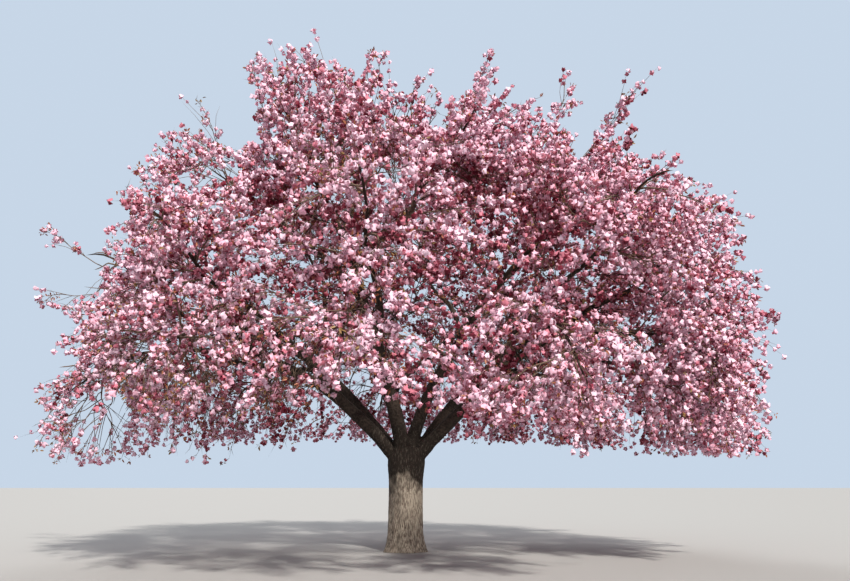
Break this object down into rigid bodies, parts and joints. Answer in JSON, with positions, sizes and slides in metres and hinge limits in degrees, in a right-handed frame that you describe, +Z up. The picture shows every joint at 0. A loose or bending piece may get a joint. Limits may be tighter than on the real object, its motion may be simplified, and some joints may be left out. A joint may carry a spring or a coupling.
{
  "type": "double-flowered cherry tree",
  "caption": "Spreading cherry tree in full pink blossom, with a short stout trunk that forks low, arching boughs and separate masses of blossom sprays.",
  "frame": {"origin": "middle of the flat cut under the trunk, at ground level", "axes": "+Z up; the picture looks along +Y, with +X to its right"},
  "size_m": [16.2683, 17.1571, 10.6908],
  "materials": {
    "trunk_bark": "rough, cracked bark",
    "limb_bark": "rough dark bark",
    "blossom": "soft matt petals"
  },
  "bodies": {
    "root": {"trunk": "trunk_bark", "bough_skirt_1": "limb_bark", "bough_skirt_2": "limb_bark", "bough_skirt_3": "limb_bark", "bough_skirt_4": "limb_bark", "bough_skirt_5": "limb_bark", "bough_skirt_6": "limb_bark", "bough_skirt_7": "limb_bark", "bough_skirt_8": "limb_bark", "bough_skirt_9": "limb_bark", "bough_skirt_10": "limb_bark", "bough_skirt_11": "limb_bark", "bough_mid_1": "limb_bark", "bough_mid_2": "limb_bark", "bough_mid_3": "limb_bark", "bough_mid_4": "limb_bark", "bough_mid_5": "limb_bark", "bough_mid_6": "limb_bark", "bough_mid_7": "limb_bark", "bough_mid_8": "limb_bark", "bough_mid_9": "limb_bark", "bough_upper_1": "limb_bark", "bough_upper_2": "limb_bark", "bough_upper_3": "limb_bark", "bough_upper_4": "limb_bark", "bough_upper_5": "limb_bark", "bough_upper_6": "limb_bark", "bough_upper_7": "limb_bark", "bough_top_1": "limb_bark", "bough_top_2": "limb_bark", "mass_skirt_1": "blossom", "mass_skirt_2": "blossom", "mass_skirt_3": "blossom", "mass_skirt_4": "blossom", "mass_skirt_5": "blossom", "mass_skirt_6": "blossom", "mass_skirt_7": "blossom", "mass_skirt_8": "blossom", "mass_skirt_9": "blossom", "mass_skirt_10": "blossom", "mass_skirt_11": "blossom", "mass_mid_1": "blossom", "mass_mid_2": "blossom", "mass_mid_3": "blossom", "mass_mid_4": "blossom", "mass_mid_5": "blossom", "mass_mid_6": "blossom", "mass_mid_7": "blossom", "mass_mid_8": "blossom", "mass_mid_9": "blossom", "mass_upper_1": "blossom", "mass_upper_2": "blossom", "mass_upper_3": "blossom", "mass_upper_4": "blossom", "mass_upper_5": "blossom", "mass_upper_6": "blossom", "mass_upper_7": "blossom", "mass_top_1": "blossom", "mass_top_2": "blossom"}
  },
  "joints": []
}
